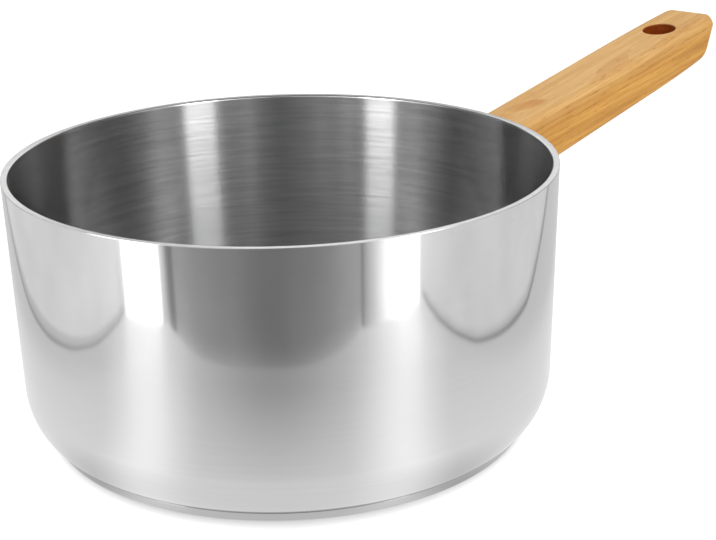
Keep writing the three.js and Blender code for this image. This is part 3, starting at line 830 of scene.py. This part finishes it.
# Camera: a long lens in front of the pan and a little above it, with the handle pointing away to the right.
# It is aimed past the middle of the pan, so that pan and handle fill the picture together.
VIEW_AZIMUTH = math.radians(-43.8)
VIEW_ELEVATION = math.radians(25.02)
VIEW_DISTANCE = 0.5876
AIM_RIGHT = math.radians(2.883)
AIM_UP = math.radians(5.049)
CAMERA_TILT = math.radians(1.14)
LENS = 76.41
SENSOR = 36.0
turn_to_view = Matrix.Rotation(VIEW_AZIMUTH, 3, "Z")
standpoint = turn_to_view @ Vector((0, -math.cos(VIEW_ELEVATION), math.sin(VIEW_ELEVATION))) * VIEW_DISTANCE
lens_data = bpy.data.cameras.new("camera")
lens_data.lens = LENS
lens_data.sensor_width = SENSOR
camera = bpy.data.objects.new("camera", lens_data)
bpy.context.scene.collection.objects.link(camera)
at_the_pan = (-standpoint).to_track_quat("-Z", "Y")
to_the_right = Quaternion((0, 0, 1), -AIM_RIGHT)
upwards = Quaternion((1, 0, 0), AIM_UP)
tilted = Quaternion((0, 0, 1), -CAMERA_TILT)
camera.rotation_mode = "QUATERNION"
camera.rotation_quaternion = to_the_right @ at_the_pan @ upwards @ tilted
camera.location = standpoint
bpy.context.scene.camera = camera

# Floor: a wide white table top, bright where the camera, glossy or clear surfaces see it, with the shadow
# that the pan leaves close round its foot. Seen from below it lets the view through to the underside.
FLOOR_SIZE = 14
FLOOR_TONE = 0.42
FLOOR_IN_ROOM = 0.8
SHADOW_REACH = (0.008, 0.0035)  # in front of the pan and beside it
SHADOW_GLOW, SHADOW_OPENNESS = (0.36, 0.8), (0.15, 0.75)
SHADOW_SAMPLES = 16
PAN_SIDE = 0.085
# What the steel mirrors: the two strips of the tent throw light on the floor, and its front leaves it dim.
# Bearings are turned from straight in front of the pan, to the right, as the camera sees it.
STRIP_BEARINGS = ((-0.65, -0.82), (0.45, 0.65))  # close to the pan and far from it
STRIP_REACH = (0.097, 0.225)
STRIP_SPREAD = (0.28, 0.36)
STRIP_GLOW = (0.30, 0.40)
DIM_BEARING = -0.09
DIM_SPREAD = 0.62
NEAR, FAR = 0.120, 0.200
NEAR_LEVEL, FAR_LEVEL = 1.02, 0.86
NEAR_DIM, FAR_DIM = 0.10, 0.40
# Beside the side walls the mirrored floor gets darker: painted shade where the walls stand on it.
BESIDE = (0.160, 0.185)
BESIDE_SHADE_LEVEL = 0.90
# Close round the pan's foot, most of all at its sides, the mirrored floor is darkened: a painted contact
# shadow.
CLOSE_RANGE = (0.092, 0.125)
CLOSE_SHADOW_DIM, CLOSE_BEARINGS, CLOSE_SPREAD = 0.30, (-0.85, 0.66), 0.47
deselect_all()
bpy.ops.mesh.primitive_plane_add(size=FLOOR_SIZE)
floor = bpy.context.object
floor.name = "floor"
material, tree, place = new_material("white_floor")
as_seen = node(tree, "Mapping", {"Vector": place, "Rotation": (0, 0, VIEW_AZIMUTH)}, vector_type="TEXTURE")
seen_parts = node(tree, "SeparateXYZ", {"Vector": as_seen.outputs[0]}).outputs
rightwards, backwards = seen_parts["X"], seen_parts["Y"]
sideways = reckon(tree, rightwards, ("ABSOLUTE", 0))
shadow_reach = spread(tree, sideways, *SHADOW_REACH, 0, PAN_SIDE)
openness = node(tree, "AmbientOcclusion", {"Distance": shadow_reach}, samples=SHADOW_SAMPLES).outputs["AO"]
glow = node(tree, "Emission", {"Strength": spread(tree, openness, *SHADOW_GLOW, *SHADOW_OPENNESS)})
tone = node(tree, "BsdfDiffuse", {"Color": (*grey(FLOOR_TONE), 1)})
lit = node(tree, "AddShader", {0: tone.outputs[0], 1: glow.outputs[0]})
paper = node(tree, "BsdfDiffuse", {"Color": (*grey(FLOOR_IN_ROOM), 1)})
bearing = reckon(tree, rightwards, ("ARCTAN2", reckon(tree, backwards, ("MULTIPLY", -1))))
distance = length_of(tree, place)


def near_bearing(centre, reach):
    off = reckon(tree, bearing, ("SUBTRACT", centre), ("ABSOLUTE", 0))
    return eased(tree, off, reach, 0.0)


level = spread(tree, distance, NEAR_LEVEL, FAR_LEVEL, NEAR, FAR)
for close_centre, far_centre in STRIP_BEARINGS:
    centre = spread(tree, distance, close_centre, far_centre, *STRIP_REACH)
    width = spread(tree, distance, *STRIP_SPREAD, *STRIP_REACH)
    glow_here = spread(tree, distance, *STRIP_GLOW, *STRIP_REACH)
    level = reckon(tree, near_bearing(centre, width), ("MULTIPLY", glow_here), ("ADD", level))
depth = spread(tree, distance, NEAR_DIM, FAR_DIM, NEAR, FAR)
dim = reckon(tree, near_bearing(DIM_BEARING, DIM_SPREAD), ("MULTIPLY", depth))
# Painted shade on the floor beside the side walls.
beside = spread(tree, sideways, 1, BESIDE_SHADE_LEVEL, *BESIDE)
# Painted contact shadow on the mirrored floor close round the foot, strongest at the sides.
left_side, right_side = (near_bearing(centre, CLOSE_SPREAD) for centre in CLOSE_BEARINGS)
at_sides = reckon(tree, left_side, ("ADD", right_side), ("MULTIPLY", -CLOSE_SHADOW_DIM), ("ADD", 1))
close_shadow = spread(tree, distance, at_sides, 1.0, *CLOSE_RANGE)
level = reckon(tree, level, ("SUBTRACT", dim), ("MULTIPLY", beside), ("MULTIPLY", close_shadow))
bright = node(tree, "Emission", {"Strength": level})
path = node(tree, "LightPath")
mirrored = reckon(tree, path.outputs["Is Glossy Ray"], ("MAXIMUM", path.outputs["Is Transmission Ray"]))
front = node(tree, "MixShader", {0: path.outputs["Is Camera Ray"], 1: paper.outputs[0], 2: lit.outputs[0]})
front = node(tree, "MixShader", {0: mirrored, 1: front.outputs[0], 2: bright.outputs[0]})
clear = node(tree, "BsdfTransparent")
from_below = node(tree, "NewGeometry").outputs["Backfacing"]
close(tree, node(tree, "MixShader", {0: from_below, 1: front.outputs[0], 2: clear.outputs[0]}))
floor.data.materials.append(material)

# Light tent: upright cards round the pan that only its polished surfaces see. Two pale side walls, a grey
# front with a thin dark post at each end, a bright strip in each front corner, and a back with two lights
# above it. Stops are (share of the row, brightness), the two ends first.
TENT_HEIGHT = 0.36
TURN_OVER = (0.100, 0.112)  # heights between which a card changes from its low to its high brightness
UPRIGHT_AT = 0.15  # height at which a leaning light stands where its stops say
# At a card's foot: a dark seam at the join with the floor and a band of painted shade just above it; the
# front's foot is brighter.
FOOT_RANGE = 0.01  # the stops at the foot of a card are shares of this height
FOOT_GROWTH, GROWTH_FROM, GROWTH_TO = 3.2, -0.08, 0.25  # it grows towards the back
CARD_CLOUD_CELLS = (22, 22, 30)
CARD_CLOUD_LEVELS = (0.93, 1.07)


def ramp(tree, value, stops):
    """A grey level along a value, from (position, level) stops that begin with the two ends."""
    made = node(tree, "ValToRGB", {0: value})
    for count, (position, level) in enumerate(stops):
        if count < 2:
            stop = made.color_ramp.elements[count]
            stop.position = position
        else:
            stop = made.color_ramp.elements.new(position)
        stop.color = (*grey(level), 1)
    return made.outputs[0]


def distance_along(tree, place, direction):
    return node(tree, "VectorMath", {0: place, 1: direction}, operation="DOT_PRODUCT").outputs["Value"]


def card(name, corners, stands, lean, foot, low, high):
    """A row of upright cards along floor points, right of and behind the pan as the camera sees it.
    The stops give the brightness along the row, low by the floor and high above the pan, where it leans
    along the row with height. The foot's stops change the brightness close to the floor."""
    piece = edge_chain(name, [turn_to_view @ Vector((*corner, stands[0])) for corner in corners])
    bpy.ops.mesh.extrude_region_move(TRANSFORM_OT_translate={"value": (0, 0, stands[1] - stands[0])})
    bpy.ops.object.mode_set(mode="OBJECT")
    material, tree, place = new_material(name)
    start = turn_to_view @ Vector((*corners[0], 0))
    run = turn_to_view @ Vector((*corners[-1], 0)) - start
    from_start = node(tree, "VectorMath", {0: place, 1: start}, operation="SUBTRACT").outputs[0]
    share = distance_along(tree, from_start, run / run.length_squared)
    height = node(tree, "SeparateXYZ", {"Vector": place}).outputs["Z"]
    leaning = reckon(tree, height, ("SUBTRACT", UPRIGHT_AT), ("MULTIPLY", -lean), ("ADD", share))
    above = spread(tree, height, 0, 1, *TURN_OVER)
    low_level, high_level = ramp(tree, share, low), ramp(tree, leaning, high)
    level = node(tree, "Mix", {0: above, 2: low_level, 3: high_level}).outputs[0]
    behind = distance_along(tree, place, turn_to_view @ Vector((0, 1, 0)))
    foot_range = spread(tree, behind, FOOT_RANGE, FOOT_RANGE * FOOT_GROWTH, GROWTH_FROM, GROWTH_TO)
    # Dark seam and painted shade at the foot of the walls, a brighter band at the front's foot.
    at_foot = ramp(tree, reckon(tree, height, ("DIVIDE", foot_range)), foot)
    clouds = noise(tree, place, CARD_CLOUD_CELLS, CLOUD_DETAIL)
    clouds = spread(tree, clouds, *CARD_CLOUD_LEVELS, *CLOUD_RANGE)
    level = reckon(tree, level, ("MULTIPLY", at_foot), ("MULTIPLY", clouds))
    close(tree, node(tree, "Emission", {"Strength": level}))
    piece.data.materials.append(material)
    piece.visible_camera = False
    piece.visible_diffuse = False
    piece.visible_shadow = False
    piece.visible_transmission = False


FROM_FLOOR = (0, TENT_HEIGHT)
EVEN = [(0, 1.0), (1, 1.0)]
card("left_wall", [
    (-0.260, 0.330), (-0.203, 0.060), (-0.197, 0), (-0.195, -0.050), (-0.198, -0.090), (-0.209, -0.135),
    (-0.215, -0.148)],
    stands=FROM_FLOOR, lean=-0.56,
    foot=[(0, 0.36), (1, 1.0), (0.14, 0.36), (0.24, 0.68), (0.46, 0.72), (0.62, 1.0)],
    low=[(0, 0.90), (1, 1.10), (0.6, 0.92), (0.9, 1.0), (0.98, 1.12), (0.99, 0.85)],
    high=[(0, 0.06), (1, 7.1), (0.60, 0.17), (0.65, 0.50), (0.69, 0.90), (0.84, 0.83), (0.88, 1.06),
          (0.905, 4.7), (0.92, 7.1)])
card("left_strip", [(-0.215, -0.148), (-0.163, -0.201)],
     stands=FROM_FLOOR, lean=-1.64, foot=EVEN,
     low=[(0, 0.85), (1, 0.8), (0.05, 0.80), (0.085, 3.0), (0.875, 3.0), (0.92, 0.85)],
     high=[(0, 7.1), (1, 1.3), (0.46, 7.1), (0.56, 3.5), (0.66, 1.55)])
card("front_wall", [
    (-0.163, -0.201), (-0.143, -0.2020), (-0.127, -0.2006), (-0.114, -0.2010), (-0.103, -0.2028),
    (-0.087, -0.2070), (-0.069, -0.2114), (-0.052, -0.2158), (-0.034, -0.2192), (-0.017, -0.2212),
    (0.019, -0.2220), (0.057, -0.2236), (0.071, -0.2250), (0.088, -0.2284), (0.100, -0.2330)],
    stands=FROM_FLOOR, lean=0,
    foot=[(0, 1.5), (1, 1.0), (0.4, 1.22)],
    low=[(0, 0.75), (1, 0.50), (0.02, 0.40), (0.035, 0.22), (0.062, 0.18), (0.078, 0.48), (0.13, 0.47),
         (0.22, 0.37), (0.38, 0.30), (0.52, 0.22), (0.6, 0.22), (0.73, 0.28), (0.89, 0.42)],
    high=[(0, 2.2), (1, 1.2), (0.05, 1.7), (0.14, 1.25), (0.28, 1.02), (0.45, 0.69), (0.58, 0.44),
          (0.66, 0.46), (0.79, 0.79), (0.9, 1.3)])
card("right_strip", [(0.100, -0.233), (0.195, -0.192)],
     stands=FROM_FLOOR, lean=0.9, foot=EVEN,
     low=[(0, 0.45), (1, 0.85), (0.01, 0.25), (0.03, 0.25), (0.05, 0.48), (0.135, 0.78), (0.19, 0.9),
          (0.31, 1.4), (0.46, 2.0), (0.6, 3.0), (0.91, 3.0), (0.945, 0.85)],
     high=[(0, 1.2), (1, 7.1), (0.33, 1.4), (0.46, 2.3), (0.51, 4.1), (0.58, 7.1)])
card("right_wall", [
    (0.195, -0.192), (0.187, -0.157), (0.1845, -0.125), (0.1845, -0.090), (0.199, -0.028), (0.210, 0.015),
    (0.245, 0.080), (0.330, 0.260)],
    stands=FROM_FLOOR, lean=0.5,
    foot=[(0, 0.20), (1, 1.0), (0.16, 0.20), (0.30, 0.72), (0.46, 0.82), (0.68, 1.0)],
    low=[(0, 1.02), (1, 0.90), (0.1, 0.92), (0.3, 0.92)],
    high=[(0, 7.1), (1, 0.06), (0.075, 7.1), (0.09, 4.7), (0.11, 1.06), (0.15, 0.78), (0.26, 0.68),
          (0.32, 0.61), (0.40, 0.31), (0.5, 0.12)])
BACK_LIGHT_FROM, BACK_LIGHT_TO, UPPER_LIGHT_TO = 0.19, 0.268, 0.43
back_corners = [(0.330, 0.260), (0.150, 0.390), (-0.100, 0.420), (-0.260, 0.330)]
card("back_wall", back_corners,
     stands=(0, BACK_LIGHT_FROM), lean=0,
     foot=[(0, 0.5), (1, 1.0), (0.14, 0.5), (0.26, 1.0)],
     low=[(0, 0.9), (1, 0.9), (0.15, 0.9), (0.17, 2.2), (0.24, 2.2), (0.27, 0.35), (0.5, 0.25),
          (0.73, 0.35), (0.76, 2.2), (0.83, 2.2), (0.85, 0.9)],
     high=[(0, 0.25), (1, 0.25)])
card("back_light", back_corners,
     stands=(BACK_LIGHT_FROM, BACK_LIGHT_TO), lean=0, foot=EVEN, low=EVEN,
     high=[(0, 0.10), (1, 0.10), (0.14, 0.10), (0.25, 1.2), (0.92, 1.25), (0.99, 0.10)])
card("upper_back_light", back_corners,
     stands=(BACK_LIGHT_TO, UPPER_LIGHT_TO), lean=0, foot=EVEN, low=EVEN,
     high=[(0, 0.10), (1, 0.10), (0.22, 0.10), (0.40, 1.1), (0.64, 1.15), (0.82, 0.10)])

# Light: a wide soft ceiling, a softer lamp from each front corner and an even room. Levels are plain, so a
# colour comes out about as it is written.
ROOM_LEVEL = 0.5
ROOM_IN_STEEL = 0.12


def soft_lamp(name, power, size, right, behind, up):
    """A square lamp at a place as the camera sees it, aimed at the pan."""
    data = bpy.data.lights.new(name, "AREA")
    data.energy = power
    data.size = size
    lamp = bpy.data.objects.new(name, data)
    lamp.location = turn_to_view @ Vector((right, behind, up))
    lamp.rotation_mode = "QUATERNION"
    lamp.rotation_quaternion = (-lamp.location).to_track_quat("-Z", "Y")
    lamp.visible_camera = False
    lamp.visible_glossy = False
    bpy.context.scene.collection.objects.link(lamp)


soft_lamp("ceiling", power=5.4, size=1.4, right=0.05, behind=0.15, up=1.3)
soft_lamp("left_lamp", power=2.2, size=0.6, right=-0.75, behind=-0.6, up=0.75)
soft_lamp("right_lamp", power=5.4, size=0.6, right=0.65, behind=-0.75, up=0.75)
world = bpy.data.worlds.new("room")
bpy.context.scene.world = world
world.use_nodes = True
tree = world.node_tree
tree.nodes.clear()
path = node(tree, "LightPath")
seen = spread(tree, path.outputs["Is Glossy Ray"], ROOM_LEVEL, ROOM_IN_STEEL)
level = spread(tree, path.outputs["Is Camera Ray"], seen, 1.0)
background = node(tree, "Background", {"Color": (1, 1, 1, 1), "Strength": level})
node(tree, "OutputWorld", {"Surface": background.outputs[0]})
bpy.context.scene.view_settings.view_transform = "Standard"
